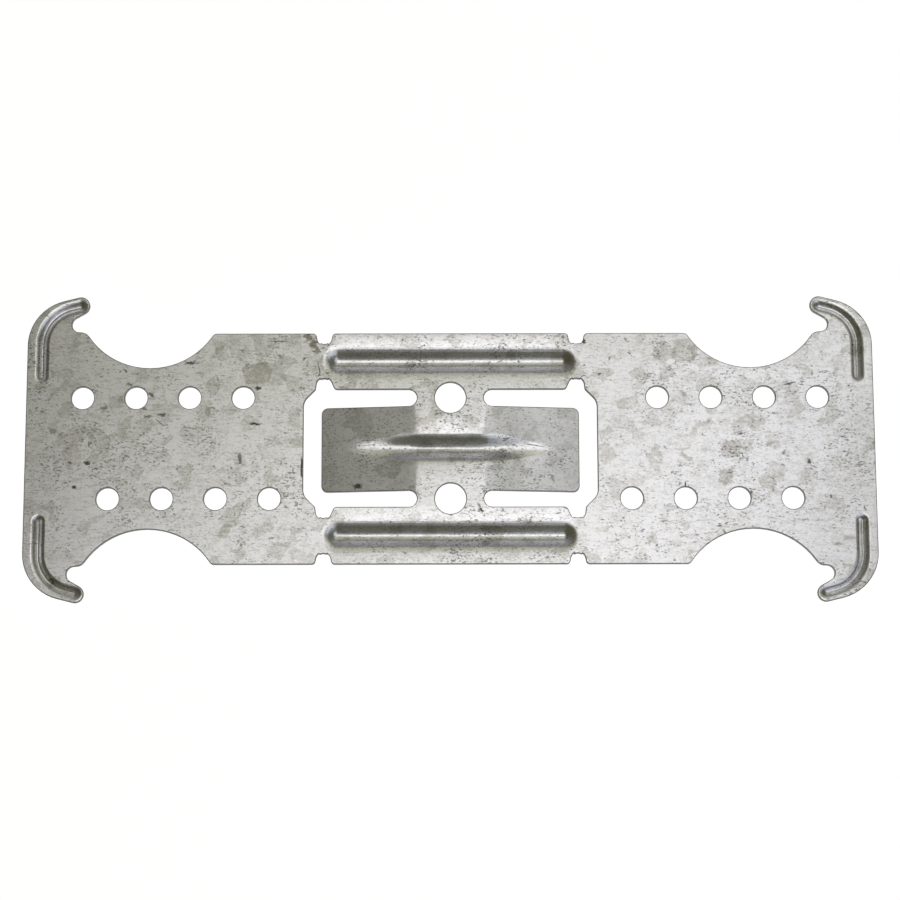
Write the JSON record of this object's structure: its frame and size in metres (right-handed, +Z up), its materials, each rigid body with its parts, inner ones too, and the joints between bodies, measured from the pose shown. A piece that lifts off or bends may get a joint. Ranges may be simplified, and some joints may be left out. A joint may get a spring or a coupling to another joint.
{
  "type": "ceiling profile cross connector",
  "caption": "Flat pressed steel plate with rounded hooks at its corners, stiffening ribs, screw holes and sprung tongues; it folds at its necks to join crossing ceiling profiles.",
  "frame": {"origin": "middle of the plate, on the plane it rests on, under the tips of the two tongues", "axes": "+X along the plate's length, +Y across its width, +Z up out of the face with the rib grooves"},
  "size_m": [0.1586, 0.0578, 0.0035],
  "materials": {
    "galvanised_sheet": "hot-dip galvanised with fine spangle, satin"
  },
  "bodies": {
    "root": {"connector_plate": "galvanised_sheet"}
  },
  "joints": []
}
